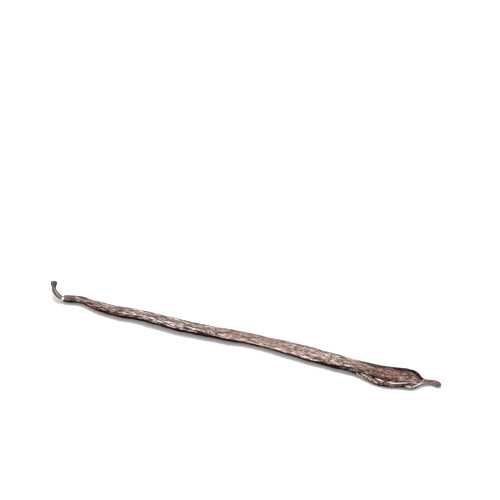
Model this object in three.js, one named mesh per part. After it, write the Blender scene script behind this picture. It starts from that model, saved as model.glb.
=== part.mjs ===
/**
 * Cured vanilla pod, lying on its flatter side.
 *
 * Millimetres, +Z up. The cut stalk is at -X and the blossom end with its short beak at +X.
 * The origin is on the surface that the pod lies on, below the middle of its box.
 *
 * The pod is one closed skin: rings strung along a bent axis, each ring an oval with a few
 * lengthwise furrows pressed into it. What would dip below the surface is pressed flat on it.
 */
import * as THREE from 'three';

// ---- Driving dimensions ----

// The pod's axis from the cut stalk to the tip of the beak, as x, y, z.
const AXIS_POINTS = [
  [-83.35, 2.75, 7.15],
  [-82.86, 1.1, 5.98],
  [-82.36, -0.2, 4.56],
  [-80.72, -1.1, 3.25],
  [-78.94, -1.5, 2.1],
  [-76.8, -0.85, 1.5],
  [-71, 0.05, 1.6],
  [-64, -0.95, 1.8],
  [-57, -1.6, 1.85],
  [-44.5, -1.0, 1.9],
  [-26, -1.4, 1.95],
  [-8, -0.7, 1.9],
  [3, 0.1, 1.8],
  [22, -0.3, 1.95],
  [40, -1.1, 2.1],
  [47, -1.35, 2.2],
  [53, -2.15, 2.3],
  [57.5, -2.9, 2.35],
  [62, -2.6, 2.4],
  [67, -1.6, 2.35],
  [71.5, -1.0, 2.1],
  [75.5, -0.35, 1.4],
  [79, 0.45, 1.2],
  [82.6, -0.05, 1.2],
];

// The oval's size along the pod, as distance from the cut stalk, half width, half thickness.
// Each stretch is a run of rings with about the spacing given.
const STALK = {
  spacing: 0.5,
  rows: [
    [0.04, 0.7, 0.68],
    [0.15, 1.08, 1.05],
    [0.45, 1.28, 1.25],
    [1.05, 1.36, 1.32],
    [1.6, 1.24, 1.2],
    [2.15, 1.02, 1.0],
    [2.8, 0.94, 0.92],
    [4.0, 0.94, 0.92],
    [6.4, 1.0, 0.98],
    [7.8, 0.98, 0.95],
    [8.6, 0.88, 0.86],
    [9.2, 1.04, 1.02],
    [9.6, 1.42, 1.26],
    [10.2, 1.6, 1.36],
    [10.8, 1.64, 1.38],
  ],
};
const BODY = {
  spacing: 1.9,
  rows: [
    [10.8, 1.64, 1.38],
    [16, 1.66, 1.4],
    [21, 1.95, 1.52],
    [28, 2.4, 1.75],
    [36, 2.78, 1.95],
    [46, 2.86, 2.02],
    [62, 2.95, 2.1],
    [78, 2.85, 2.05],
    [95, 2.7, 1.95],
    [106, 2.95, 2.1],
    [118, 3.2, 2.2],
    [128, 3.2, 2.2],
    [134, 3.05, 2.15],
    [138, 3.1, 2.1],
    [141.5, 3.6, 2.05],
    [145, 4.2, 2.0],
    [150, 4.3, 1.95],
    [156.5, 4.4, 1.95],
  ],
};
const BEAK = {
  spacing: 0.8,
  rows: [
    [156.5, 4.4, 1.95],
    [159.3, 4.0, 1.75],
    [161.5, 3.1, 1.5],
    [163.3, 1.7, 1.15],
    [164.8, 1.12, 0.96],
    [167, 1.0, 0.9],
    [169.4, 1.14, 0.98],
    [170.7, 0.94, 0.84],
    [171.3, 0.45, 0.42],
  ],
};
const STRETCHES = [STALK, BODY, BEAK];
const POLE_DISTANCES = [0, 171.5];

// How far the oval leans, its rear edge up, as distance and degrees.
const LEAN = [
  [0, 0],
  [50, -6],
  [100, 5],
  [128, 12],
  [150, 24],
  [172, 10],
];

// Furrows. A path is distance and angle in degrees: 0 at the rear, 90 on top, 180 at the front.
// The depth fades out over the fade at both ends, and to each side over the spread, in degrees.
// A depth below nought is a ridge.
const FURROWS = [
  { path: [[26, 206], [80, 196], [138, 204]], depth: 0.5, spread: 13, fade: 9 },
  { path: [[9, 86], [50, 70], [92, 84]], depth: 0.26, spread: 12, fade: 9 },
  { path: [[24, 150], [60, 142], [100, 160]], depth: 0.34, spread: 11, fade: 9 },
  { path: [[96, 126], [120, 134], [136, 148]], depth: 0.34, spread: 10, fade: 9 },
  { path: [[16, 34], [90, 14], [150, 24]], depth: 0.34, spread: 14, fade: 9 },
  { path: [[12, 170], [70, 182], [120, 168]], depth: 0.28, spread: 12, fade: 9 },
  { path: [[20, 318], [100, 304], [150, 320]], depth: 0.4, spread: 15, fade: 9 },
  // The crease where the body rounds down to its lower lip, and the fold along the lip.
  {
    path: [[133, 160], [136, 154], [139.3, 141], [141, 133], [143, 125], [145, 117], [153, 116]],
    depth: 0.8,
    spread: 9,
    fade: 4,
  },
  {
    path: [[143.5, 174], [148.7, 160], [152.2, 155], [155.7, 152], [159, 147]],
    depth: 1,
    spread: 9,
    fade: 3,
  },
  // The hollow behind the beak, and the raised rim that turns from the lip to the beak.
  { path: [[157.3, 14], [159.8, 36], [161.1, 52], [164, 80]], depth: 0.9, spread: 16, fade: 1.2 },
  { path: [[158.2, 168], [159.8, 150], [161.6, 139], [164.2, 78]], depth: -0.22, spread: 10, fade: 0.8 },
  // The notch under the neck, where the stalk joins.
  { path: [[9.3, 208], [11.2, 200]], depth: 0.5, spread: 20, fade: 0.4 },
];

// The oval has three soft corners, as the fresh fruit has: their height as a share of the
// radius, as distance and share.
const CORNERS = 3;
const CORNER_ANGLE = 32;
const CORNER_HEIGHTS = [
  [0, 0],
  [24, 0.11],
  [132, 0.11],
  [146, 0.05],
  [162, 0],
];

// Shallow swellings along the body.
const SWELLING = 0.045;
const SWELLING_LENGTHS = [11.3, 27.7];

// Furrows have their full depth where the pod is at least this thick from axis to skin.
const FULL_DEPTH_RADIUS = 2.2;

const RING_POINTS = 36;
const AXIS_DIVISIONS = 800;
const POD_COLOUR = '#4f352c';
const POD_ROUGHNESS = 0.48;

// ---- Helpers ----

const { degToRad, smoothstep, euclideanModulo } = THREE.MathUtils;
const vectors = (rows) => rows.map((row) => new THREE.Vector3(...row));
const throughPoints = (rows) => new THREE.CatmullRomCurve3(vectors(rows), false, 'centripetal');

const axis = throughPoints(AXIS_POINTS);
axis.arcLengthDivisions = AXIS_DIVISIONS;
const TIP_DISTANCE = POLE_DISTANCES[1];
const UP = new THREE.Vector3(0, 0, 1);

/** Value at a distance in a table of [distance, value], eased from row to row. */
function eased(table, distance) {
  let value = table[0][1];
  for (let k = 1; k < table.length; k += 1) {
    const [from, start] = table[k - 1];
    const [to, end] = table[k];
    value += (end - start) * smoothstep(distance, from, to);
  }
  return value;
}

/** A dip that is 1 at the given angle and fades over the spread, both in degrees. */
function dip(angle, middle, spread) {
  const away = euclideanModulo(angle - middle + 180, 360) - 180;
  return Math.exp(-((away / spread) ** 2));
}

/** Depth of all furrows at one place on the skin. */
function furrowDepth(distance, angle) {
  let depth = 0;
  for (const { path, depth: full, spread, fade } of FURROWS) {
    const from = path[0][0];
    const to = path[path.length - 1][0];
    const shown = smoothstep(distance, from, from + fade) * (1 - smoothstep(distance, to - fade, to));
    depth += full * shown * dip(angle, eased(path, distance), spread);
  }
  return depth;
}

/** Swelling factor at a distance, near 1. */
function swelling(distance) {
  const waves = SWELLING_LENGTHS.map((length, k) => Math.sin((distance / length) * 2 * Math.PI + k));
  return 1 + (SWELLING * (waves[0] + waves[1])) / waves.length;
}

/** One ring of points around the axis. */
function ring([distance, halfWidth, halfThickness]) {
  const along = distance / TIP_DISTANCE;
  const centre = axis.getPointAt(along);
  const forward = axis.getTangentAt(along);
  const across = new THREE.Vector3().crossVectors(UP, forward).normalize();
  const top = new THREE.Vector3().crossVectors(forward, across);
  const lean = degToRad(eased(LEAN, distance));
  const swell = swelling(distance);
  const depthShare = Math.min(1, halfThickness / FULL_DEPTH_RADIUS);
  const cornerHeight = eased(CORNER_HEIGHTS, distance);
  const points = [];
  for (let k = 0; k < RING_POINTS; k += 1) {
    const angle = (k / RING_POINTS) * 360;
    const radians = degToRad(angle);
    const rim = new THREE.Vector2(halfWidth * Math.cos(radians), halfThickness * Math.sin(radians));
    const cornered = 1 + cornerHeight * Math.cos(CORNERS * degToRad(angle - CORNER_ANGLE));
    const pressed = 1 - (furrowDepth(distance, angle) * depthShare) / rim.length();
    rim.multiplyScalar(swell * cornered * pressed).rotateAround(new THREE.Vector2(), lean);
    const point = centre.clone().addScaledVector(across, rim.x).addScaledVector(top, rim.y);
    point.z = Math.max(point.z, 0);
    points.push(point);
  }
  return points;
}

/** The rings' sizes, read off a smooth curve through each stretch's rows. */
function ringSizes() {
  const sizes = [];
  for (const { spacing, rows } of STRETCHES) {
    const curve = throughPoints(rows);
    const count = Math.ceil(curve.getLength() / spacing);
    const first = sizes.length === 0 ? 0 : 1;
    for (let k = first; k <= count; k += 1) {
      sizes.push(curve.getPointAt(k / count).toArray());
    }
  }
  return sizes;
}

/** A closed skin over rings of equal point counts, with a pole at each end. */
function skin(rings, poles) {
  const points = [...rings.flat(), ...poles];
  const [startPole, endPole] = [points.length - 2, points.length - 1];
  const lastRing = (rings.length - 1) * RING_POINTS;
  const triangles = [];
  for (let k = 0; k < RING_POINTS; k += 1) {
    const next = (k + 1) % RING_POINTS;
    triangles.push(startPole, next, k, endPole, lastRing + k, lastRing + next);
    for (let r = 0; r < lastRing; r += RING_POINTS) {
      const above = r + RING_POINTS;
      triangles.push(r + k, r + next, above + next, r + k, above + next, above + k);
    }
  }
  const geometry = new THREE.BufferGeometry().setFromPoints(points);
  geometry.setIndex(triangles);
  return geometry;
}

// ---- The pod ----

function makePod() {
  const poles = POLE_DISTANCES.map((distance) => axis.getPointAt(distance / TIP_DISTANCE));
  const geometry = skin(ringSizes().map(ring), poles);
  geometry.computeBoundingBox();
  const middle = geometry.boundingBox.getCenter(new THREE.Vector3());
  geometry.translate(-middle.x, -middle.y, 0);
  geometry.computeVertexNormals();
  const material = new THREE.MeshStandardMaterial({ color: POD_COLOUR, roughness: POD_ROUGHNESS });
  const pod = new THREE.Mesh(geometry, material);
  pod.name = 'pod';
  return pod;
}

const vanillaPod = new THREE.Group();
vanillaPod.add(makePod());

export default vanillaPod;
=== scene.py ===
# %% [markdown]
# # A cured vanilla pod
#
# A vanilla pod is the fruit of an orchid. Picked green, it is scalded, sweated and dried for months
# until it is a slender, dark, oily strap, wrinkled from end to end. At one end it keeps a hooked
# stalk that was cut from the vine. At the other it narrows to a short blunt beak where the flower
# sat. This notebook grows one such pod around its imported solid, wrinkle by wrinkle, then gives its
# skin a finish, lays it on a pale table and lights it.

import math

import bpy
import numpy as np
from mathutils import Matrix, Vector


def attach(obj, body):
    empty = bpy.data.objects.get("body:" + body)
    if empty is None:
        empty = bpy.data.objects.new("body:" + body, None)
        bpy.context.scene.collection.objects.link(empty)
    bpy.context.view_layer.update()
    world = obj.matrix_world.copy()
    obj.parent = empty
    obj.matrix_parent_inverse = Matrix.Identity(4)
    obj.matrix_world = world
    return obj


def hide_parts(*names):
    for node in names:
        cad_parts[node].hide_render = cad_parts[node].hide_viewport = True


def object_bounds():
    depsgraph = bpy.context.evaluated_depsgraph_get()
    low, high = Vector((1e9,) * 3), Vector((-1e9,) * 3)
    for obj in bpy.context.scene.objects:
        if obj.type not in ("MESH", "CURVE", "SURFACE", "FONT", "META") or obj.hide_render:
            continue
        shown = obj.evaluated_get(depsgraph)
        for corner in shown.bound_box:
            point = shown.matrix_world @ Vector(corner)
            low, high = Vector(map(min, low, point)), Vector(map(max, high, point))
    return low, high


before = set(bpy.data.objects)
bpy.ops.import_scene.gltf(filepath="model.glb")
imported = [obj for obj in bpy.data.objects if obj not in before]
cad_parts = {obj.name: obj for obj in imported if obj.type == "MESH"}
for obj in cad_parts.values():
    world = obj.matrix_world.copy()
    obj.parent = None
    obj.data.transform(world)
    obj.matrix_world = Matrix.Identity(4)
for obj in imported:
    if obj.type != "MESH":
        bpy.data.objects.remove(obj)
SOLID_LOW, SOLID_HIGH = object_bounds()
MM = 0.001
print("solid's box in mm:", [round((h - l) / MM, 2) for l, h in zip(SOLID_LOW, SOLID_HIGH)])

# %% [markdown]
# ## The pod's axis
#
# The pod is nearly straight, but not quite: it sways a little to each side, and its stalk hooks up
# and back. A long thin thing like this is easiest to build as rings on a bent axis. The axis needs
# only the points where the pod changes direction, and a smooth curve through them does the rest.
# The curve's knots are spaced by the square root of the distance between points. That keeps it
# from looping where two points lie close together, as they do in the stalk.

# %% A smooth curve through a few points
# From the cut stalk to the tip of the beak, as x, y, z in millimetres.
AXIS_POINTS = (
    (-83.35, 2.75, 7.15),
    (-82.86, 1.1, 5.98),
    (-82.36, -0.2, 4.56),
    (-80.72, -1.1, 3.25),
    (-78.94, -1.5, 2.1),
    (-76.8, -0.85, 1.5),
    (-71, 0.05, 1.6),
    (-64, -0.95, 1.8),
    (-57, -1.6, 1.85),
    (-44.5, -1.0, 1.9),
    (-26, -1.4, 1.95),
    (-8, -0.7, 1.9),
    (3, 0.1, 1.8),
    (22, -0.3, 1.95),
    (40, -1.1, 2.1),
    (47, -1.35, 2.2),
    (53, -2.15, 2.3),
    (57.5, -2.9, 2.35),
    (62, -2.6, 2.4),
    (67, -1.6, 2.35),
    (71.5, -1.0, 2.1),
    (75.5, -0.35, 1.4),
    (79, 0.45, 1.2),
    (82.6, -0.05, 1.2),
)
STEPS_PER_SPAN = 60


def smooth_line(points):
    """A dense smooth line through the points: one row for each step."""
    p = np.array(points, float)
    # One more point beyond each end, in line with the last two, gives the end spans a slope.
    p = np.vstack((2 * p[0] - p[1], p, 2 * p[-1] - p[-2]))
    gap = np.sqrt(np.linalg.norm(np.diff(p, axis=0), axis=1))
    t = np.linspace(0, 1, STEPS_PER_SPAN, endpoint=False)[:, None]
    spans = []
    for k in range(1, len(p) - 2):
        before, here, after = gap[k - 1], gap[k], gap[k + 1]
        # The slopes with which the curve leaves this point and arrives at the next.
        leave = (p[k] - p[k - 1]) / before - (p[k + 1] - p[k - 1]) / (before + here)
        leave = (leave + (p[k + 1] - p[k]) / here) * here
        arrive = (p[k + 1] - p[k]) / here - (p[k + 2] - p[k]) / (here + after)
        arrive = (arrive + (p[k + 2] - p[k + 1]) / after) * here
        rise = p[k + 1] - p[k]
        square, cube = 3 * rise - 2 * leave - arrive, leave + arrive - 2 * rise
        spans.append(p[k] + leave * t + square * t**2 + cube * t**3)
    return np.vstack((*spans, p[-2]))


def run_of(line):
    """The distance along a line to each of its rows."""
    return np.concatenate(([0], np.cumsum(np.linalg.norm(np.diff(line, axis=0), axis=1))))


def at_shares(line, shares):
    """The line's rows at shares of its length, from 0 to 1."""
    run = run_of(line)
    return np.stack([np.interp(shares * run[-1], run, column) for column in line.T], axis=1)


axis_line = smooth_line(AXIS_POINTS)
print("axis length in mm:", round(run_of(axis_line)[-1], 1))

# %% [markdown]
# ## How thick it is
#
# Across the axis the pod is an oval. It starts as a flared knob, narrows to the stalk, pinches to a
# neck, and then the body begins with a blunt shoulder. The body grows slowly, flattens towards the
# blossom end and closes over a few millimetres to the beak. Each row below is one place where that
# size changes: distance from the cut stalk, half width and half thickness. The same smooth curve
# runs through the rows, so rings can be read off at any spacing.

# %% Sizes along the pod
# Distance from the cut stalk, half width and half thickness, all in mm.
STALK_ROWS = (
    (0.0, 0.02, 0.02),
    (0.04, 0.7, 0.68),
    (0.15, 1.08, 1.05),
    (0.45, 1.28, 1.25),
    (1.05, 1.36, 1.32),
    (1.6, 1.24, 1.2),
    (2.15, 1.02, 1.0),
    (2.8, 0.94, 0.92),
    (4.0, 0.94, 0.92),
    (6.4, 1.0, 0.98),
    (7.8, 0.98, 0.95),
    (8.6, 0.88, 0.86),
    (9.2, 1.04, 1.02),
    (9.6, 1.42, 1.26),
    (10.2, 1.6, 1.36),
    (10.8, 1.64, 1.38),
)
BODY_ROWS = (
    (10.8, 1.64, 1.38),
    (16, 1.66, 1.4),
    (21, 1.95, 1.52),
    (28, 2.4, 1.75),
    (36, 2.78, 1.95),
    (46, 2.86, 2.02),
    (62, 2.95, 2.1),
    (78, 2.85, 2.05),
    (95, 2.7, 1.95),
    (106, 2.95, 2.1),
    (118, 3.2, 2.2),
    (128, 3.2, 2.2),
    (134, 3.05, 2.15),
    (138, 3.1, 2.1),
    (141.5, 3.6, 2.05),
    (145, 4.2, 2.0),
    (150, 4.3, 1.95),
    (156.5, 4.4, 1.95),
)
BEAK_ROWS = (
    (156.5, 4.4, 1.95),
    (159.3, 4.0, 1.75),
    (161.5, 3.1, 1.5),
    (163.3, 1.7, 1.15),
    (164.8, 1.12, 0.96),
    (167, 1.0, 0.9),
    (169.4, 1.14, 0.98),
    (170.7, 0.94, 0.84),
    (171.3, 0.45, 0.42),
    (171.5, 0.02, 0.02),
)
TIP = BEAK_ROWS[-1][0]
# Each stretch's rows, and how far apart its rings are, in mm.
STRETCHES = ((STALK_ROWS, 0.16), (BODY_ROWS, 0.27), (BEAK_ROWS, 0.2))


def ring_rows():
    """Distance, half width and half thickness of every ring."""
    rows = []
    for table, spacing in STRETCHES:
        line = smooth_line(table)
        count = math.ceil(run_of(line)[-1] / spacing)
        read = at_shares(line, np.linspace(0, 1, count + 1))
        # A stretch starts on the last ring of the one before, which is there already.
        rows.append(read[1:] if rows else read)
    return np.vstack(rows)


ring_at, half_width, half_thickness = ring_rows().T
print("rings:", len(ring_at))

# %% [markdown]
# ## Placing rings
#
# Each ring stands square to the axis. Its first direction runs across, towards the rear, and its
# second runs up. From the middle of the pod on the oval leans: its rear edge rises, as the flattened
# end rests on its front edge. The lean, like most things along the pod, is a few rows of place and
# value with a soft step from each row to the next.

# %% Directions at each ring
# Distance in mm and lean in degrees.
LEAN = ((0, 0), (50, -6), (100, 5), (128, 12), (150, 24), (172, 10))
# The share of the axis to look back and ahead for its direction.
NUDGE = 1e-4


def ease(low, high, x):
    """0 below low, 1 above high, and a soft S between."""
    t = np.clip((x - low) / (high - low), 0, 1)
    return t * t * (3 - 2 * t)


def eased_table(table, x):
    """The value of a table of (place, value) at x, eased from row to row."""
    value = np.full_like(x, table[0][1])
    for (low, start), (high, end) in zip(table, table[1:]):
        value += (end - start) * ease(low, high, x)
    return value


ring_share = ring_at / TIP
ring_middle = at_shares(axis_line, ring_share)
ahead = at_shares(axis_line, np.clip(ring_share + NUDGE, 0, 1))
forward = ahead - at_shares(axis_line, np.clip(ring_share - NUDGE, 0, 1))
forward /= np.linalg.norm(forward, axis=1)[:, None]
across = np.cross((0, 0, 1), forward)
across /= np.linalg.norm(across, axis=1)[:, None]
upward = np.cross(forward, across)
lean = np.radians(eased_table(LEAN, ring_at))
print("the stalk rises by up to", round(math.degrees(math.asin(-forward[:, 2].min()))), "degrees")

# %% [markdown]
# ## Lines on the skin
#
# Furrows, folds and marks all follow lines on the skin. A line could be a curve object laid over the
# pod, but it would have to be kept on the surface. It is simpler to draw it in the skin's own two
# coordinates: the distance along the pod, and the angle round it, which is 0 at the rear, 90 on top
# and 180 in front. Each line is a path, a height, how many degrees it spreads to each side, and the
# millimetres over which it fades in and out at its ends.

# %% A grid of distances and angles
RING_POINTS = 140

angle = np.arange(RING_POINTS) * 360 / RING_POINTS
D, A = np.meshgrid(ring_at, angle, indexing="ij")


def dip(middle, spread):
    """1 at the middle angle, fading over the spread, round the ring."""
    away = (A - middle + 180) % 360 - 180
    return np.exp(-((away / spread) ** 2))


def along_lines(lines):
    """The sum of lines, each as (path, height, spread in degrees, fade in mm)."""
    total = np.zeros_like(D)
    for path, height, spread, fade in lines:
        start, end = path[0][0], path[-1][0]
        shown = ease(start, start + fade, D) * (1 - ease(end - fade, end, D))
        total += height * shown * dip(eased_table(path, D), spread)
    return total


print("points on the skin:", D.size)

# %% [markdown]
# ## Furrows and folds
#
# Drying draws the skin in along a few main furrows that run most of the pod's length. At the blossom
# end it folds more sharply. A crease climbs from the lower front edge and parts a lip from the body,
# and a fold runs along that lip. Behind the beak the end is hollow, with a raised rim that turns from
# the lip to the beak. A rim is a furrow with a depth below nought. Few and large as they are, these
# are in the imported solid too, and the list is nearly the same there.

# %% The furrows' depth
# Most of the crease's way, from front to top, which a dark line of oil and painted shade follows too.
CREASE_PATH = ((136, 154), (139.3, 141), (141, 133), (143, 125), (145, 117), (153, 116))
# Each path's distances and angles, then depth in mm, spread in degrees and fade in mm.
FURROWS = (
    # Along the body.
    (((26, 206), (80, 196), (138, 204)), 0.5, 13, 9),
    (((9, 86), (50, 70), (92, 84)), 0.26, 12, 9),
    (((24, 150), (60, 142), (100, 160)), 0.34, 11, 9),
    (((96, 126), (120, 134), (136, 148)), 0.34, 10, 9),
    (((16, 34), (90, 14), (150, 24)), 0.34, 14, 9),
    (((12, 170), (70, 182), (120, 168)), 0.28, 12, 9),
    (((20, 318), (100, 304), (150, 320)), 0.4, 15, 9),
    # The crease between body and lip, and the fold along the lip.
    (((133, 160), *CREASE_PATH), 0.8, 8, 4),
    (((143.5, 174), (148.7, 160), (152.2, 155), (155.7, 152), (159, 147)), 1.0, 7, 3),
    # The hollow behind the beak, and the rim from the lip to the beak.
    (((157.3, 14), (159.8, 36), (161.1, 52), (164, 80)), 0.9, 16, 1.2),
    (((158.2, 168), (159.8, 150), (161.6, 139), (164.2, 78)), -0.22, 8, 0.8),
    # The notch under the neck, where the stalk joins.
    (((9.3, 208), (11.2, 200)), 0.5, 20, 0.4),
)

furrow = along_lines(FURROWS)
print("deepest furrow in mm:", round(furrow.max(), 2))

# %% [markdown]
# ## Pale and white marks, partly painted highlight
#
# Where skin stands up it is rubbed pale, and it catches the light. Most of that comes from the
# wrinkles, but some marks have a place of their own: a streak up the stalk, a white ring where the
# stalk joins, small nicks before the flat end, and the white edges of its fold and rim. The streak,
# the ring, the edges and the crests are partly rubbed skin and partly painted highlight. They are
# worked out on the mesh and not in the material, because the wrinkles have to lie flatter along
# them. Here a line's height is how strongly it shows, and 1 is all of it.

# %% Pale and white lines
PALE_LINES = (
    # A painted highlight up the stalk, and a pale line along the start of the body.
    (((2.2, 80), (3, 77), (4.3, 85), (5.7, 103), (7, 108)), 0.45, 14, 1),
    (((9.7, 68), (15, 70)), 0.2, 8, 1),
    # A slanting ring where the body starts to widen, and worn lines beyond it.
    (((14.1, 60), (14.8, 77), (18.1, 165), (19, 180)), 0.6, 15, 0.6),
    (((22.8, 121), (27, 121)), 0.9, 5, 1),
    (((78, 137), (100, 139), (120, 136)), 0.6, 6, 8),
    # Three nicks, and painted highlights on the crests beside the crease.
    (((121.3, 127), (122.4, 126)), 0.7, 3.5, 0.35),
    (((123.2, 118), (124.2, 118)), 0.7, 3.5, 0.35),
    (((125.7, 105), (126.6, 105)), 0.7, 3.5, 0.35),
    (((125, 133), (127, 127), (129.1, 118), (131.3, 116), (134, 114)), 0.9, 3.2, 1),
    (((128.6, 150), (130.5, 145), (133, 143)), 0.6, 4, 1),
    (((133.6, 146), (137, 136)), 0.35, 9, 1.2),
    (((144, 134), (147, 132), (149, 128)), 0.3, 5, 1),
)
WHITE_LINES = (
    # Where the stalk joins: a pale ring with a painted highlight on it.
    (((8.6, 143), (9.4, 128)), 1.0, 46, 0.3),
    # Painted highlights on the edge above the fold, the rim, and a crest above the crease.
    (((150, 130), (152.5, 129), (154.2, 128), (156, 126), (158, 123)), 0.85, 2.3, 1.5),
    (((159.4, 153), (160.9, 144), (161.9, 136), (163, 118), (164.1, 84)), 1.0, 3.2, 0.5),
    (((131, 117), (134, 115)), 0.7, 3.5, 0.8),
)

pale = along_lines(PALE_LINES)
white = along_lines(WHITE_LINES)
print("skin marked pale or white in percent:", round(100 * (pale + white > 0.5).mean(), 1))

# %% [markdown]
# ## Dark lines of painted shade, and warm marks
#
# Oil stays in the folds and shade falls in them, and both are painted as a dark line along each
# fold. The sides of the stalk and of the beak, the rear edge of the flat end and the hollow behind
# the beak have dark lines of painted shade too. A few more dark lines lie on the body. Two long
# patches have a warmer brown. These are drawn as the pale ones are. Their colours come later, with
# the finish.

# %% Dark and warm lines
FOLD_PATH = ((143.5, 176), (146.3, 171), (148.4, 153), (150.6, 143), (152.7, 142), (155.2, 142))
DARK_LINES = (
    # Painted shade on the sides of the knob and of the stalk.
    (((0.8, 132), (2, 132)), 0.8, 22, 0.4),
    (((0.8, 34), (2.3, 34)), 0.8, 22, 0.4),
    (((1.4, 150), (3.7, 150), (4.9, 160), (7, 165), (8.7, 175)), 0.5, 22, 0.8),
    (((2, 25), (3, 15), (5.2, 45), (6.8, 55), (8.5, 78)), 0.5, 20, 0.8),
    # Painted shade in the notch under the neck, and on both sides of the body's start.
    (((9.1, 236), (9.8, 225), (10.8, 204), (13, 196)), 1.2, 26, 0.4),
    (((10, 150), (20, 145), (28, 141), (40, 148)), 0.5, 20, 4),
    (((10, 44), (15, 50), (20, 54)), 0.9, 24, 1.2),
    # Dark lines on the body.
    (((56, 139), (60, 135), (66, 138)), 0.6, 4, 2),
    (((118, 138), (124, 130), (129, 124), (135, 122)), 0.4, 14, 3),
    (((125.4, 143), (127, 141), (128.6, 139), (130.2, 134), (131.8, 131), (134.2, 130)), 1.3, 7, 0.8),
    # Oil and painted shade in the crease and the fold, and painted shade along the lower edge of the
    # lip.
    (((130, 172), (133, 162), *CREASE_PATH), 1.2, 4.5, 2.5),
    (((151, 120), (156, 118), (161, 112)), 0.5, 14, 3),
    ((*FOLD_PATH, (158.6, 139)), 1.3, 8, 1.5),
    (((139, 178), (150, 172), (159, 172), (161.5, 164)), 0.8, 10, 1.5),
    # Painted shade on the rear edge of the flat end, and in the hollow behind the beak.
    (((134, 40), (141, 46), (150, 34), (160, 14)), 0.75, 22, 4),
    (((150, 24), (156, 44), (160, 46)), 0.7, 22, 2.5),
    (((157, 8), (159.8, 30), (161.1, 46), (164, 76)), 1.4, 25, 1.2),
    # Painted shade on the sides of the beak, and a dark mark on its root on top.
    (((164.4, 188), (168, 192), (171.2, 150)), 0.7, 22, 0.6),
    (((164.4, 30), (170.6, 24)), 0.6, 18, 0.8),
    (((164.8, 96), (167.5, 92)), 0.4, 26, 0.8),
)
WARM_LINES = (
    (((16, 140), (24, 138), (34, 140), (46, 142)), 1.0, 28, 5),
    (((140, 84), (146, 84), (156, 92)), 0.9, 34, 4),
)

dark = along_lines(DARK_LINES)
warm = along_lines(WARM_LINES)
print("skin marked dark in percent:", round(100 * (dark > 0.5).mean(), 1))

# %% [markdown]
# ## Noise that closes round the pod
#
# Between the furrows the skin is covered in wrinkles: soft ridges, a fraction of a millimetre wide
# and many millimetres long, that join and part. They could be a bump in the material, but the
# outline and the closest views would stay smooth, so they go into the mesh. Smooth random noise,
# stretched along the pod, has long wavering lines where it passes zero. Pressing a crease in along
# those lines gives ridges that merge and split as dried skin does. The noise has a whole number of
# cells round the pod, so that it meets itself without a seam.

# %% Noise and creases
SEED = 20
# What brings this kind of noise to about -1 to 1.
NOISE_SCALE = 1.5

random = np.random.default_rng(SEED)


def skin_noise(cells, length, sway=0.0):
    """Smooth noise, about -1 to 1: so many cells round the pod, each so many millimetres long."""
    turns = random.uniform(0, 2 * math.pi, (int(TIP / length) + 3, cells))
    x = (A / 360 + sway) % 1 * cells
    y = D / length
    column, row = np.floor(x).astype(int), np.floor(y).astype(int)
    u, v = x - column, y - row

    def corner(i, j):
        turn = turns[row + j, (column + i) % cells]
        return np.cos(turn) * (u - i) + np.sin(turn) * (v - j)

    def fade(t):
        return t**3 * (t * (6 * t - 15) + 10)

    low = corner(0, 0) * (1 - fade(u)) + corner(1, 0) * fade(u)
    high = corner(0, 1) * (1 - fade(u)) + corner(1, 1) * fade(u)
    return NOISE_SCALE * (low * (1 - fade(v)) + high * fade(v))


def crease(noise, width):
    """1 along the lines where the noise is zero, falling off sharply to each side."""
    return np.exp(-np.abs(noise) / width)


print("noise starts from seed", SEED)

# %% [markdown]
# ## Wrinkles of four sizes
#
# One size of wrinkle looks combed. Four sizes are laid over each other, each finer than the last and
# the finest also shallower, and a slow sway carries them all a little round the pod and back. The
# strongest crease at each point is kept too, the broad ones apart from the fine ones, because the
# finish darkens the two in different ways.

# %% Four layers of wrinkles
# Cells round the pod, length in mm, depth in mm, width of the crease in the noise.
WRINKLES = (
    (5, 24, 0.12, 0.14),
    (13, 7, 0.12, 0.14),
    (21, 5, 0.12, 0.18),
    (34, 3, 0.09, 0.24),
)
# Layers with more cells than this count as fine.
BROAD_CELLS = 8
# The sway as a share of a whole turn, its cells round the pod and their length in mm.
SWAY, SWAY_CELLS, SWAY_LENGTH = 0.012, 4, 13

sway = SWAY * skin_noise(SWAY_CELLS, SWAY_LENGTH)
wrinkle, broad_lines, fine_lines = np.zeros_like(D), np.zeros_like(D), np.zeros_like(D)
for cells, length, depth, width in WRINKLES:
    line = crease(skin_noise(cells, length, sway), width)
    wrinkle += depth * line
    if cells > BROAD_CELLS:
        fine_lines = np.maximum(fine_lines, line)
    else:
        broad_lines = np.maximum(broad_lines, line)
print("wrinkles in mm: mean", round(wrinkle.mean(), 3), "deepest", round(wrinkle.max(), 3))

# %% [markdown]
# ## Where the wrinkles lie
#
# A pod isn't wrinkled evenly. Its front is rougher than its top, its first few millimetres and a
# stretch past the middle are nearly smooth, and so are patches everywhere. On the flat end the upper
# face is calm beside the lip. One number at each point, the wear, says how deep the wrinkles go. It
# is a profile along the pod times a profile round it, less what is calm and what is marked. The
# finish uses it again, since rough skin is also where oil and pale streaks show most.

# %% How wrinkled each point is
# By distance along the pod in mm.
WEAR_ALONG = (
    (0, 0.5),
    (8, 0.5),
    (9.5, 0.25),
    (14, 0.25),
    (16.5, 1.2),
    (60, 1.15),
    (74, 1.0),
    (84, 0.5),
    (104, 0.45),
    (116, 0.75),
    (126, 1.2),
    (150, 1.3),
    (163, 1.0),
    (166, 0.4),
    (172, 0.4),
)
# By angle round it in degrees.
WEAR_AROUND = (
    (0, 0.8),
    (45, 0.45),
    (85, 0.32),
    (108, 0.6),
    (125, 1.3),
    (145, 1.8),
    (210, 1.0),
    (300, 0.8),
    (360, 0.8),
)
# How much smoother the flat end's upper face is, where it starts, and where the lip takes over.
CALM, CALM_FROM, CALM_TO = 0.55, (132, 142), (108, 124)
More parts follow.
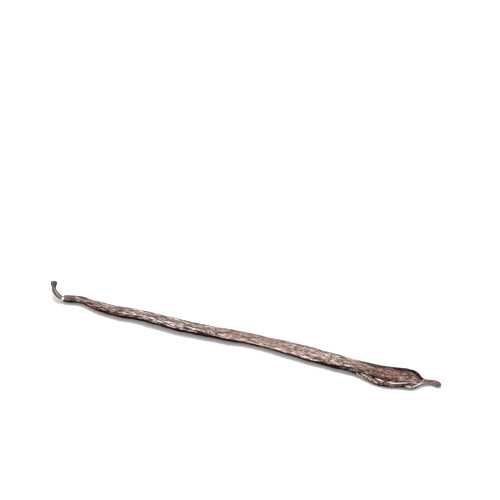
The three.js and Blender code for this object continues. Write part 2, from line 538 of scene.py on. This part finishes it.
# How much smoother the skin is along its marked lines.
QUIET = 0.7
# The patches: cells, length in mm, where they step in the noise, and what is left of the smoothest.
PATCH_CELLS, PATCH_LENGTH, PATCH_STEP, PATCH_LEAST = 3, 21, (-0.4, 0.5), 0.45


def at_least(least, share):
    """A share from 0 to 1 that is squeezed to run from least to 1."""
    return least + (1 - least) * share


patchy = at_least(PATCH_LEAST, ease(*PATCH_STEP, skin_noise(PATCH_CELLS, PATCH_LENGTH)))
wear = eased_table(WEAR_ALONG, D) * eased_table(WEAR_AROUND, A)
wear *= 1 - CALM * ease(*CALM_FROM, D) * (1 - ease(*CALM_TO, A))
wear *= 1 - QUIET * np.clip(pale + white + dark, 0, 1)
wrinkle *= patchy * wear
print("with wear, in mm: mean", round(wrinkle.mean(), 3), "deepest", round(wrinkle.max(), 3))

# %% [markdown]
# ## Dents and cross wrinkles
#
# Two more things keep the pod from looking turned on a lathe. Soft dents, a centimetre long, push the
# outline in and out. Where the pod bends, at its stalk and a little at its flat end, the skin also
# has fine wrinkles that run round it instead of along it, as a sleeve has at the elbow.

# %% Dents and wrinkles across
# Depth in mm, cells round the pod, their length in mm, and a crease's width in the noise.
DENT, DENT_CELLS, DENT_LENGTH = 0.1, 4, 12
CROSS_DEPTH, CROSS_CELLS, CROSS_LENGTH, CROSS_WIDTH = 0.035, 9, 1.1, 0.25
# Where the bends of the stalk end, where those of the flat end start, and how strong the latter are.
STALK_BENDS, END_BENDS, END_BEND_SHARE = (16, 26), (134, 146), 0.25

dent = DENT * skin_noise(DENT_CELLS, DENT_LENGTH)
bends = (1 - ease(*STALK_BENDS, D)) + ease(*END_BENDS, D) * END_BEND_SHARE
cross = CROSS_DEPTH * bends * crease(skin_noise(CROSS_CELLS, CROSS_LENGTH, sway), CROSS_WIDTH)
print("deepest dent in mm:", round(-dent.min(), 3), "cross wrinkle:", round(cross.max(), 3))

# %% [markdown]
# ## The skin
#
# Now every ring is put round the axis: the oval's point, scaled by swelling and corners, less the
# furrows and wrinkles, leaned and placed. The oval keeps three soft corners, because the fresh fruit
# is three-cornered. Where the pod is thin, the furrows and wrinkles are shallower in proportion. What
# would dip below the table is pressed flat on it, as a soft pod is.

# %% Points of the skin
CORNERS, CORNER_ANGLE = 3, 32
# How high the corners are, as a share of the radius, by distance in mm.
CORNER_HEIGHTS = ((0, 0), (24, 0.11), (132, 0.11), (146, 0.05), (162, 0))
# How much the body swells and shrinks, and the lengths of the two waves in mm.
SWELLING, SWELLING_LENGTHS = 0.045, (11.3, 27.7)
# Furrows have their full depth where the pod is at least this thick, from axis to skin.
FULL_DEPTH_RADIUS = 2.2

radians = np.radians(A)
waves = [np.sin(D / length * 2 * math.pi + k) for k, length in enumerate(SWELLING_LENGTHS)]
swell = 1 + SWELLING * sum(waves) / len(waves)
cornered = 1 + eased_table(CORNER_HEIGHTS, D) * np.cos(CORNERS * np.radians(A - CORNER_ANGLE))
oval_x = half_width[:, None] * np.cos(radians)
oval_y = half_thickness[:, None] * np.sin(radians)

relief = furrow * swell * cornered + wrinkle + cross - dent
relief *= np.minimum(1, half_thickness / FULL_DEPTH_RADIUS)[:, None]
scale = swell * cornered - relief / np.hypot(oval_x, oval_y)
x, y = oval_x * scale, oval_y * scale
lean_cos, lean_sin = np.cos(lean)[:, None], np.sin(lean)[:, None]
leaned_x = x * lean_cos - y * lean_sin
leaned_y = x * lean_sin + y * lean_cos

points = (
    ring_middle[:, None, :]
    + leaned_x[..., None] * across[:, None, :]
    + leaned_y[..., None] * upward[:, None, :]
)
points[..., 2] = np.maximum(points[..., 2], 0)
poles = at_shares(axis_line, np.array([0, 1]))
print("points:", points.shape[0] * points.shape[1])

# %% [markdown]
# ## Fitting the skin into the solid's box
#
# The solid is centred on its box, so the skin is moved the same way. It may not stand outside the
# solid's box, so any side that does is drawn in by the little that it needs. That is one scale for
# each direction, and too small a change to see.


# %% Fit to the box
def fit_to_box(places):
    """Centres the places on the solid's box and draws in any side that stands out, in mm."""
    low, high = np.array(SOLID_LOW) / MM, np.array(SOLID_HIGH) / MM
    own_low, own_high = places.min(axis=0), places.max(axis=0)
    middle, own_middle = (low + high) / 2, (own_low + own_high) / 2
    middle[2] = own_middle[2] = 0
    draw = np.minimum(1, (high - low) / (own_high - own_low))
    print("drawn in by:", np.round(draw, 4))
    return (places - own_middle) * draw + middle


places = fit_to_box(np.vstack((points.reshape(-1, 3), poles))) * MM

# %% [markdown]
# ## Joining the points
#
# The rings are joined by quads, and a fan of triangles closes each end, so the skin is one closed
# mesh.


# %% The pod's mesh
def ring_skin(ring_count):
    """Quads between rings and a triangle fan at each pole, all facing out."""
    k = np.arange(RING_POINTS)
    after = (k + 1) % RING_POINTS
    first = (np.arange(ring_count - 1) * RING_POINTS)[:, None]
    second = first + RING_POINTS
    quads = np.stack((first + k, first + after, second + after, second + k), -1)
    last = (ring_count - 1) * RING_POINTS
    start_pole, end_pole = ring_count * RING_POINTS, ring_count * RING_POINTS + 1
    start_fan = [(start_pole, b, a) for a, b in zip(k, after)]
    end_fan = [(end_pole, last + a, last + b) for a, b in zip(k, after)]
    return [*quads.reshape(-1, 4).tolist(), *start_fan, *end_fan]


pod_mesh = bpy.data.meshes.new("vanilla_pod")
pod_mesh.from_pydata(places.tolist(), [], ring_skin(len(ring_at)))
pod_mesh.shade_smooth()
pod = bpy.data.objects.new("vanilla_pod", pod_mesh)
bpy.context.scene.collection.objects.link(pod)
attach(pod, "root")
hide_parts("pod")
print("faces:", len(pod_mesh.polygons))

# %% [markdown]
# ## Painted shade on the lower side
#
# Low on its front side the pod is almost black, because that side lies in shade. Light alone can't
# make it as dark as that, so the shade is painted into the skin's colour. Its upper edge wanders
# along the pod, and the finish frays it later. Under the pod it ends again.

# %% Where the lower side is dark
# The painted shade's edge in front, as distance in mm and angle in degrees.
SHADE_EDGE = (
    (0, 200),
    (9, 170),
    (9.8, 146),
    (12, 149),
    (19, 152),
    (30, 155),
    (48, 150.5),
    (66, 148),
    (78, 145),
    (98, 146.5),
    (112, 147),
    (118, 145),
    (122, 139),
    (127, 142),
    (133, 149),
    (140, 176),
    (172, 178),
)
# Half the shade edge's softness and the step at the rear, in degrees, and the step at the knob, in mm.
SIDE_SOFT, SIDE_REAR, SIDE_START = 3, (206, 236), (0.7, 2)

shade_edge = eased_table(SHADE_EDGE, D)
# The share of painted shade at each point of the skin.
painted_shade_side = ease(shade_edge - SIDE_SOFT, shade_edge + SIDE_SOFT, A) * (1 - ease(*SIDE_REAR, A))
painted_shade_side *= ease(*SIDE_START, D)
print("skin on the dark side in percent:", round(100 * (painted_shade_side > 0.5).mean()))

# %% [markdown]
# ## Telling the finish where it is
#
# The finish has to know what lies at each point of the skin: how deep in a wrinkle or a furrow it
# is, how worn, which marks cross it, and how far along the pod it is. These are stored as numbers on
# the mesh. Streaks also need a place that follows the pod round its bends. That is stored as a
# vector whose second and third parts go round a circle, so patterns close on themselves without a
# seam. The circle shrinks to a point at both ends, where a wide one would draw the streaks out.

# %% Values stored on the mesh
# The circle's radius in mm, full where the pod is at least this wide from axis to skin.
PATTERN_RADIUS, FULL_PATTERN = 2.5, 0.85
# The wear and the furrow depth that are stored as 1, and the least share of a fine crease.
FULL_WEAR, FULL_FURROW, FINE_LEAST = 1.2, 0.6, 0.7


def store(name, kind, values):
    """Stores one value for each point, the poles last."""
    made = pod_mesh.attributes.new(name, kind, "POINT")
    made.data.foreach_set("vector" if kind == "FLOAT_VECTOR" else "value", values.ravel())


def with_poles(grid):
    """A grid's values in the mesh's order, with the end rings' means at the poles."""
    return np.append(grid.ravel(), (grid[0].mean(), grid[-1].mean()))


skin_values = {
    "wrinkle": broad_lines * patchy,
    "fine_wrinkle": fine_lines * at_least(FINE_LEAST, patchy),
    "wear": np.clip(wear, 0, FULL_WEAR) / FULL_WEAR,
    "furrow": np.clip(furrow / FULL_FURROW, 0, 1),
    "pale_line": np.clip(pale, 0, 1),
    "white_line": np.clip(white, 0, 1),
    "dark_line": np.clip(dark, 0, 1),
    "warm_line": np.clip(warm, 0, 1),
    "distance": D,
    "painted_shade_side": painted_shade_side,
}
for name, grid in skin_values.items():
    store(name, "FLOAT", with_poles(grid))
circle = PATTERN_RADIUS * np.minimum(1, half_width / FULL_PATTERN)[:, None]
around = [with_poles(grid) for grid in (D, circle * np.cos(radians), circle * np.sin(radians))]
store("skin_place", "FLOAT_VECTOR", np.stack(around, axis=1))
print("stored:", *skin_values, "and skin_place")

# %% [markdown]
# ## Writing finishes as sums
#
# A material is a graph of nodes, but most of it is arithmetic: this mask times that streak, one
# minus the other. A small class wraps an output socket and gives it the usual signs, so each sum
# adds its own Math nodes. One method adds any other node: its type, its settings, then the values
# or wires of its sockets. Colours go through a Mix node, since a Math node would turn them grey.

# %% A socket that can be used in sums
# A Mix node has sockets for every kind of value. These are the ones that it uses for colours.
MIX_SHARE, MIX_FIRST, MIX_SECOND, MIX_RESULT = 0, 6, 7, 2


class Wire:
    """One output of a node. Sums with numbers or other wires add Math nodes."""

    def __init__(self, finish, socket):
        self.finish, self.socket = finish, socket

    def math(self, operation, *others):
        """Adds a Math node."""
        return self.finish.add("ShaderNodeMath", {"operation": operation}, dict(enumerate(others)))

    def __add__(self, other):
        return self.math("ADD", self, other)

    def __sub__(self, other):
        return self.math("SUBTRACT", self, other)

    def __mul__(self, other):
        return self.math("MULTIPLY", self, other)

    def __rsub__(self, other):
        return self.math("SUBTRACT", other, self)

    __radd__, __rmul__ = __add__, __mul__

    def above(self, low, high):
        """0 below low, 1 above high, and a soft S between."""
        sockets = {"Value": self, "From Min": low, "From Max": high}
        return self.finish.add("ShaderNodeMapRange", {"interpolation_type": "SMOOTHSTEP"}, sockets)


class Finish:
    """A material being written."""

    def __init__(self, name):
        self.material = bpy.data.materials.new(name)
        self.material.use_nodes = True
        self.tree = self.material.node_tree
        self.tree.nodes.clear()

    def add(self, kind, settings=None, sockets=None, output=0):
        """Adds a node: its settings first, then its sockets' values or wires."""
        node = self.tree.nodes.new(kind)
        for name, value in (settings or {}).items():
            setattr(node, name, value)
        for key, value in (sockets or {}).items():
            if isinstance(value, Wire):
                self.tree.links.new(value.socket, node.inputs[key])
            else:
                node.inputs[key].default_value = value
        return Wire(self, node.outputs[output]) if node.outputs else None

    def mix(self, share, first, second, blend="MIX"):
        """A colour between two colours, by a share from 0 to 1."""
        settings = {"data_type": "RGBA", "blend_type": blend}
        sockets = {MIX_SHARE: share, MIX_FIRST: first, MIX_SECOND: second}
        return self.add("ShaderNodeMix", settings, sockets, output=MIX_RESULT)

    def lay(self, base, *layers):
        """Lays colours over a base in turn, each as (where it shows, how strongly, colour)."""
        for shown, strength, tone in layers:
            base = self.mix(shown * strength, base, tone)
        return base


def colour(red, green, blue):
    """A colour as light, from the usual 0 to 255 of a screen, by the screen's standard curve."""
    screen = [c / 255 for c in (red, green, blue)]
    light = [c / 12.92 if c <= 0.04045 else ((c + 0.055) / 1.055) ** 2.4 for c in screen]
    return (*light, 1)


print("mid grey as light:", round(colour(128, 128, 128)[0], 3))

# %% [markdown]
# ## Patterns on the skin
#
# The finish starts by reading what was stored. Then come the patterns that break it up, from patches
# a centimetre or two long down to grains a third of a millimetre wide. They could be painted, but all
# are one kind of noise, stretched along the pod by other amounts. Each is moved to another part of
# the noise, or they would line up. Such a pattern runs from 0 to 1 and is mostly near the middle.

# %% Stored values and noise
NOISE_MIDDLE = 0.5

skin = Finish("cured_skin")


def stored(name, output="Fac"):
    """One of the values that are stored on the mesh."""
    return skin.add("ShaderNodeAttribute", {"attribute_name": name}, output=output)


place = stored("skin_place", output="Vector")
distance, wear_here, shade_side_here = stored("distance"), stored("wear"), stored("painted_shade_side")
furrows, wrinkles, fine_wrinkles = stored("furrow"), stored("wrinkle"), stored("fine_wrinkle")
pale_lines, white_lines = stored("pale_line"), stored("white_line")
dark_lines, warm_lines = stored("dark_line"), stored("warm_line")


def streaks(width, length, detail=3, offset=0.0, roughness=0.55):
    """Noise on the skin, from 0 to 1: spots of this width and length in mm."""
    # The place times a stretch for each direction, plus a move along the noise.
    sockets = {0: place, 1: (1 / length, 1 / width, 1 / width), 2: (offset, 0, 0)}
    stretched = skin.add("ShaderNodeVectorMath", {"operation": "MULTIPLY_ADD"}, sockets)
    sockets = {"Vector": stretched, "Scale": 1.0, "Detail": detail, "Roughness": roughness}
    return skin.add("ShaderNodeTexNoise", {"noise_dimensions": "3D"}, sockets)


patches = streaks(3.5, 16, offset=3)
red_patches = streaks(2.5, 22, offset=11)
olive_patches = streaks(2.2, 17, offset=23)
lilac_patches = streaks(3, 9, offset=17)
fibres = streaks(0.4, 9, detail=4, offset=31, roughness=0.7)
fine_fibres = streaks(0.3, 1.2, detail=1, offset=47)
dashes = streaks(0.3, 5, detail=0, offset=61)
specks = streaks(0.3, 2.6, detail=0, offset=83)
mottle = streaks(0.7, 1.8, detail=1, offset=101)
grain = streaks(0.32, 1.0, detail=0, offset=119)
print("patterns:", len(skin.tree.nodes), "nodes")

# %% [markdown]
# ## Browns along the pod
#
# The skin isn't one brown. It is greyest in its first third, warmer along the rest of the body, and
# reddest and darkest on the flat end. A colour ramp could hold that, but a list of places with the
# next tone is easier to read and to change. The distance wavers a little with the patches, so that
# no border runs straight across. Over the tones lie faint patches of red, olive and lilac.

# %% Tones and patches
RED, OLIVE, LILAC = colour(98, 63, 52), colour(88, 74, 58), colour(94, 75, 75)
COOL_BROWN, WARM_BROWN = colour(88, 73, 69), colour(93, 69, 61)
# Where a tone starts to give way and where it is gone, in mm, and the tone that follows.
TONES = (
    (40, 45, colour(88, 73, 74)),
    (47, 51, colour(84, 78, 77)),
    (54, 57, colour(80, 68, 64)),
    (67, 70, colour(92, 71, 68)),
    (74, 79, WARM_BROWN),
    (97, 104, colour(103, 78, 70)),
    (118, 124, colour(96, 70, 55)),
    (138, 146, colour(86, 54, 38)),
    (153, 158, colour(76, 50, 43)),
)
# How far the borders waver, in mm.
WAVER = 6
# The values of each pattern between which its patches fade in.
RED_STEP, OLIVE_STEP, LILAC_STEP = (0.5, 0.72), (0.52, 0.68), (0.52, 0.68)

wavering = distance + WAVER * (patches - NOISE_MIDDLE)
base = COOL_BROWN
for start_at, end_at, tone in TONES:
    base = skin.mix(wavering.above(start_at, end_at), base, tone)
base = skin.lay(
    base,
    (red_patches.above(*RED_STEP), 0.35, RED),
    (olive_patches.above(*OLIVE_STEP), 0.4, OLIVE),
    (lilac_patches.above(*LILAC_STEP), 0.4, LILAC),
)
print("with its browns:", len(skin.tree.nodes), "nodes")

# %% [markdown]
# ## Stalk and shoulder
#
# The stalk is woody, so it is greyer than the fruit, and its cut face is paler than its sides. The
# first few millimetres of the body are an even dark brown. All three start and end quickly, so each
# is a soft step along the pod and a colour, laid over the browns.

# %% The stalk's greys
STALK_GREY, CUT_FACE, START_BROWN = colour(53, 47, 47), colour(62, 53, 52), colour(59, 48, 47)
# The steps in mm: out of the cut face, out of the stalk, into the even start and out of it.
CUT_OUT, STALK_OUT = (0.3, 1.1), (8.6, 9.4)
START_IN, START_OUT = (9.4, 10.0), (14, 16)

start = distance.above(*START_IN) * (1 - distance.above(*START_OUT))
base = skin.lay(
    base,
    (1 - distance.above(*STALK_OUT), 0.9, STALK_GREY),
    (start, 0.9, START_BROWN),
    (1 - distance.above(*CUT_OUT), 0.7, CUT_FACE),
)
print("with its stalk:", len(skin.tree.nodes), "nodes")

# %% [markdown]
# ## Mottle and grain
#
# The flat end is mottled with paler and oilier spots of a millimetre or two. A finer grain of pale
# and dark specks lies over all the fruit, stronger on the flat end than on the body. Both take the
# high parts of a pattern for the pale spots and its low parts for the dark ones.

# %% Spots on the fruit
# The dark tone is oil, and where it darkens creases, folds and the lower side it is painted shade. The
# pale tone is rubbed skin, and on crests and edges it is also a painted glint.
OIL_AND_SHADE, BLOOM_AND_GLINT, END_PALE = colour(10, 4, 2), colour(203, 183, 176), colour(122, 86, 72)
# The steps in mm: onto the flat end, and into the grain.
END_IN, GRAIN_IN = (134, 146), (14, 20)
# The grain's strength on the body, and what the flat end adds.
BODY_GRAIN, END_GRAIN = 0.35, 0.45
PALE_MOTTLE, OILY_MOTTLE = (0.45, 0.65), (0.34, 0.46)
PALE_GRAIN, OILY_GRAIN = (0.6, 0.7), (0.34, 0.44)

at_end = distance.above(*END_IN)
grainy = distance.above(*GRAIN_IN) * (BODY_GRAIN + END_GRAIN * at_end)
base = skin.lay(
    base,
    (at_end * mottle.above(*PALE_MOTTLE), 0.5, END_PALE),
    (at_end * (1 - mottle.above(*OILY_MOTTLE)), 0.45, OIL_AND_SHADE),
    (grainy * grain.above(*PALE_GRAIN), 0.5, BLOOM_AND_GLINT),
    (grainy * (1 - grain.above(*OILY_GRAIN)), 0.8, OIL_AND_SHADE),
)
print("with its spots:", len(skin.tree.nodes), "nodes")

# %% [markdown]
# ## The beak
#
# The beak is a dry grey brown, nearly as grey as the stalk. Its root is redder, and its tip, where
# the flower broke off, is dark. These are soft steps again, laid over the flat end's colours.

# %% The beak's colours
BEAK_GREY = colour(86, 71, 65)
# The steps in mm: onto the beak, into its root and out of it, and onto its tip.
BEAK_IN, TIP_IN = (164.6, 166), (170.3, 171.3)
ROOT_IN, ROOT_OUT = (163.8, 165), (166.5, 168.5)

base = skin.lay(
    base,
    (distance.above(*BEAK_IN), 0.8, BEAK_GREY),
    (distance.above(*ROOT_IN) * (1 - distance.above(*ROOT_OUT)), 0.6, RED),
    (distance.above(*TIP_IN), 0.6, OIL_AND_SHADE),
)
print("with its beak:", len(skin.tree.nodes), "nodes")

# %% [markdown]
# ## Fibres and strokes
#
# Under the skin run fibres, which show as faint pale threads with darker gaps. Over them lie the
# strokes that make cured skin sparkle: short broken dashes, pale where a crest is rubbed and catches
# the light, and dark where oil stays in a tiny crease. The pale ones are partly painted glints and
# the dark ones partly painted shade. They are the sum of two patterns, long dashes and short specks,
# so their ends are ragged. They show most on worn skin, and the pale ones stop at the painted shade
# of the lower side, whose edge is frayed by the same fibres.

# %% Threads and broken dashes
PALE_FIBRE = colour(120, 98, 91)
FIBRE_STEP, GAP_STEP = (0.42, 0.6), (0.4, 0.5)
# How far the fibres fray the edge of the painted shade, and the step that makes that edge.
FRAY, FRAYED_EDGE = 0.45, (0.35, 0.65)
# Strokes are a sum of two patterns, so these are near 1.
PALE_STROKE, OILY_STROKE = (1.05, 1.2), (0.8, 0.95)

frayed = shade_side_here + FRAY * (fibres - NOISE_MIDDLE) + FRAY * (dashes - NOISE_MIDDLE)
# The share of painted shade on the lower side, with a frayed edge.
below = frayed.above(*FRAYED_EDGE)
strokes = dashes + specks
base = skin.lay(
    base,
    (fibres.above(*FIBRE_STEP), 0.4, PALE_FIBRE),
    (1 - fine_fibres.above(*GAP_STEP), 0.4, OIL_AND_SHADE),
    # Pale strokes: rubbed crests with painted glints. Dark strokes: oil with painted shade.
    (strokes.above(*PALE_STROKE) * (1 - below), wear_here, BLOOM_AND_GLINT),
    ((1 - strokes.above(*OILY_STROKE)) * wear_here, 0.9, OIL_AND_SHADE),
)
print("with its strokes:", len(skin.tree.nodes), "nodes")

# %% [markdown]
# ## Creases and marks
#
# Now the creases that are in the mesh get their oil and painted shade, and the marks get their
# colours. Pale marks are broken up by the specks and white ones by the fibres, as a rubbed edge is.
# The warm patches are multiplied in, which tints what is there and keeps its pattern. The painted
# shade of the lower side goes over all but the white marks, with a few brown fibres left in it.

# %% Oil and painted shade in the creases, and the marks
# The white is the pale skin of rubbed edges with a painted highlight on it.
HIGHLIGHT_WHITE, WARM_TINT = colour(240, 228, 220), colour(226, 202, 193)
# The painted shade of the lower side, and the brown fibres left in it.
PAINTED_SHADE, SHADE_FIBRE = colour(17, 6, 3), colour(58, 34, 25)
# What is left of a pale mark between specks, and where the specks step in.
PALE_LEAST, PALE_SPECKS = 0.4, (0.45, 0.6)
FINE_CREASE, BROAD_CREASE, FURROW_STEP = (0.6, 0.85), (0.65, 0.9), (0.3, 1.0)
# The dashes' share in the fibres of the painted shade, their step and their strength.
SHADE_DASHES, SHADE_STEP, SHADE_SHARE = 0.6, (0.5, 0.72), 0.45
# Where the fibres break up the white marks.
WHITE_STEP = (0.3, 0.5)

base = skin.lay(
    base,
    (pale_lines, at_least(PALE_LEAST, specks.above(*PALE_SPECKS)), BLOOM_AND_GLINT),
    # Oil and painted shade in the fine and broad creases.
    (fine_wrinkles.above(*FINE_CREASE), wear_here, OIL_AND_SHADE),
    (wrinkles.above(*BROAD_CREASE), 0.7, OIL_AND_SHADE),
)
base = skin.mix(warm_lines, base, WARM_TINT, "MULTIPLY")
shade_fibres = (fibres + SHADE_DASHES * (dashes - NOISE_MIDDLE)).above(*SHADE_STEP)
shade_colour = skin.mix(shade_fibres * SHADE_SHARE, PAINTED_SHADE, SHADE_FIBRE)
base = skin.lay(
    base,
    # Oil and painted shade in the furrows and along the dark lines, then the painted shade below.
    (furrows.above(*FURROW_STEP), 0.35, OIL_AND_SHADE),
    (dark_lines, 0.9, OIL_AND_SHADE),
    (below, 0.95, shade_colour),
    (white_lines, fibres.above(*WHITE_STEP), HIGHLIGHT_WHITE),
)
print("with its marks:", len(skin.tree.nodes), "nodes")

# %% [markdown]
# ## Gloss
#
# Cured skin is oily but worn: its crests shine in a soft broken way, and its creases and dark side
# don't. The skin's own gloss could do that only evenly, as its level is one number for the whole
# finish. So it is turned off, and a clear coat whose weight varies stands for the film of oil. A bump
# of fibres and pores, too fine for the mesh, breaks the shine up further.

# %% Gloss and the finest relief
# Roughness, how much the fibres vary it, and how much duller the lower side is.
ROUGHNESS, FIBRE_ROUGHNESS, BELOW_ROUGHNESS = 0.5, 0.3, 0.3
COAT, COAT_ROUGHNESS = 0.9, 0.22
# Where a fine crease takes the shine away, and what is left of the shine on skin without wear.
CREST_STEP, SHINE_LEAST = (0.3, 0.6), 0.3
# The bump's height in mm, and in it the shares of the fine fibres and the pores.
BUMP_HEIGHT, FINE_SHARE, PORE_SHARE = 0.12, 0.6, 0.3
PORES_PER_MM, PORE_DETAIL = 6.0, 4.0

roughness = ROUGHNESS + FIBRE_ROUGHNESS * (fine_fibres - NOISE_MIDDLE) + BELOW_ROUGHNESS * below
crests = 1 - fine_wrinkles.above(*CREST_STEP)
shine = COAT * crests * (1 - below) * (1 - start) * at_least(SHINE_LEAST, wear_here) * (1 - dark_lines)
pore_sockets = {"Vector": place, "Scale": PORES_PER_MM, "Detail": PORE_DETAIL}
pores = skin.add("ShaderNodeTexNoise", {}, pore_sockets)
height = fibres + FINE_SHARE * fine_fibres + PORE_SHARE * pores
bump = skin.add("ShaderNodeBump", {}, {"Distance": BUMP_HEIGHT * MM, "Height": height})
surface = skin.add(
    "ShaderNodeBsdfPrincipled",
    {},
    {
        "Base Color": base,
        "Roughness": roughness,
        "Normal": bump,
        "Specular IOR Level": 0.0,
        "Coat Weight": shine,
        "Coat Roughness": COAT_ROUGHNESS,
    },
)
skin.add("ShaderNodeOutputMaterial", {}, {"Surface": surface})
pod_mesh.materials.append(skin.material)
print("finish:", skin.material.name, len(skin.tree.nodes), "nodes")

# %% [markdown]
# ## The table
#
# A pale, plain table under the pod, large enough to fill every view. It isn't part of the pod. Its
# colour is only a light grey. This light lifts that to white, and it throws less light up at the
# pod's dark side than a white table would.

# %% A pale table
# Half its width in metres, its grey as on a screen, and its roughness.
TABLE_HALF, TABLE_GREY, TABLE_ROUGHNESS = 4.0, 188, 0.9

table_mesh = bpy.data.meshes.new("table")
corners = [(TABLE_HALF * x, TABLE_HALF * y, 0) for x, y in ((-1, -1), (1, -1), (1, 1), (-1, 1))]
table_mesh.from_pydata(corners, [], [(0, 1, 2, 3)])
table = bpy.data.objects.new("table", table_mesh)
bpy.context.scene.collection.objects.link(table)

paper = Finish("pale_table")
grey = colour(TABLE_GREY, TABLE_GREY, TABLE_GREY)
matt = paper.add("ShaderNodeBsdfPrincipled", {}, {"Base Color": grey, "Roughness": TABLE_ROUGHNESS})
paper.add("ShaderNodeOutputMaterial", {}, {"Surface": matt})
table_mesh.materials.append(paper.material)
print("table is", 2 * TABLE_HALF, "m wide")

# %% [markdown]
# ## Light
#
# A soft square lamp above and behind the pod draws pale light along its upper edge and drops a soft
# shadow towards the viewer. A second lamp could open that shadow, but it would add a shadow of its
# own. An even pale sky does it from all sides at once.

# %% Lamp and sky
# The lamp's place and width in metres, and its power in watts.
LAMP_PLACE, LAMP_SIZE, LAMP_POWER = (-0.15, 0.35, 1.15), 0.45, 19
SKY_STRENGTH = 1.45

lamp_data = bpy.data.lights.new("key_lamp", "AREA")
lamp_data.shape, lamp_data.size, lamp_data.energy = "SQUARE", LAMP_SIZE, LAMP_POWER
lamp = bpy.data.objects.new("key_lamp", lamp_data)
lamp.location = LAMP_PLACE
lamp.rotation_mode = "QUATERNION"
lamp.rotation_quaternion = (-lamp.location).to_track_quat("-Z", "Y")
bpy.context.scene.collection.objects.link(lamp)

sky = bpy.data.worlds.new("pale_sky")
sky.use_nodes = True
background = sky.node_tree.nodes["Background"]
background.inputs["Color"].default_value = (1, 1, 1, 1)
background.inputs["Strength"].default_value = SKY_STRENGTH
bpy.context.scene.world = sky
bpy.context.scene.view_settings.view_transform = "Standard"
print("lamp is", round(lamp.location.length, 2), "m from the pod")

# %% [markdown]
# ## Camera
#
# The view looks down on the pod from in front and a little to its right, through a long lens. The
# pod lies below the middle of a square picture, so the camera aims at a point above it. That point
# is worked out from where the pod's origin should land in the picture.

# %% A long lens above the pod
AZIMUTH, ELEVATION, VIEW_ANGLE = math.radians(16), math.radians(52), math.radians(14.62)
# In metres.
CAMERA_DISTANCE, CLIP_START, CLIP_END = 0.8, 0.05, 20
# The picture's width and the origin's place in it, in pixels, and the camera's sensor in mm.
PICTURE_WIDTH, POD_PIXEL, SENSOR_WIDTH = 500, (241.09, 343.8), 36

level = math.cos(ELEVATION)
back = np.array((math.sin(AZIMUTH) * level, -math.cos(AZIMUTH) * level, math.sin(ELEVATION)))
right = np.array((math.cos(AZIMUTH), math.sin(AZIMUTH), 0))
picture_up = np.cross(back, right)
half_view = math.tan(VIEW_ANGLE / 2)
pixels_per_unit = PICTURE_WIDTH / 2 / half_view
off_right = (POD_PIXEL[0] - PICTURE_WIDTH / 2) / pixels_per_unit
off_up = (PICTURE_WIDTH / 2 - POD_PIXEL[1]) / pixels_per_unit

lens = bpy.data.cameras.new("camera")
lens.sensor_width = SENSOR_WIDTH
lens.lens = SENSOR_WIDTH / 2 / half_view
lens.clip_start, lens.clip_end = CLIP_START, CLIP_END
camera = bpy.data.objects.new("camera", lens)
camera.location = (back - off_right * right - off_up * picture_up) * CAMERA_DISTANCE
camera.rotation_euler = (math.pi / 2 - ELEVATION, 0, AZIMUTH)
bpy.context.scene.collection.objects.link(camera)
bpy.context.scene.camera = camera
print("camera at", [round(v, 3) for v in camera.location], "lens", round(lens.lens, 1), "mm")

# %% [markdown]
# ## Up to date
#
# Last, the scene is brought up to date. The skin must stay inside the solid's box.

# %% Bring the scene up to date
bpy.context.view_layer.update()
